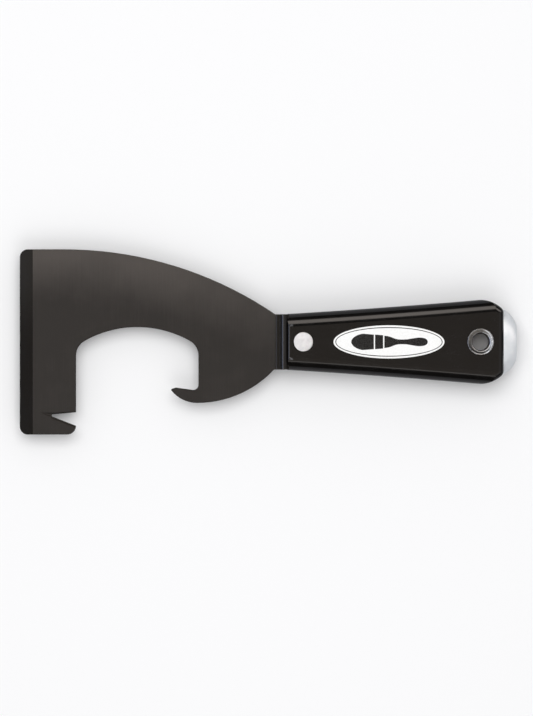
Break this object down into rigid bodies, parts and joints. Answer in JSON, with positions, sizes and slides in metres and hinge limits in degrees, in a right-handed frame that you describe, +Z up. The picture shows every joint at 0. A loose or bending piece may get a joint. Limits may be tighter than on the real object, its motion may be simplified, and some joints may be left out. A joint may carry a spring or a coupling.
{
  "type": "painter's multi tool",
  "caption": "Painter's scraper multi tool: chisel-ground steel blade with roller-cleaning cut-out, hook and V notch, moulded two-part handle, hanging hole and metal hammer cap.",
  "frame": {"origin": "under the middle of the tool's length and width, on the surface that the lower handle panel rests on", "axes": "+X along the tool towards the hammer cap, +Y towards the blade's long curved back, +Z up out of the upper handle panel"},
  "size_m": [0.2044, 0.0762, 0.017],
  "materials": {
    "blade_steel": "satin",
    "handle_plastic": "gloss",
    "cap_metal": "satin",
    "rivet_metal": "satin",
    "eyelet_metal": "gloss",
    "print_white": "satin",
    "print_black": "satin"
  },
  "bodies": {
    "root": {"blade": "blade_steel", "upper_scale": "handle_plastic", "lower_scale": "handle_plastic", "hammer_cap": "cap_metal", "front_rivet_post": "rivet_metal", "front_rivet_sleeve": "rivet_metal", "hanging_eyelet": "eyelet_metal", "hanging_eyelet_ring": "eyelet_metal"}
  },
  "joints": []
}
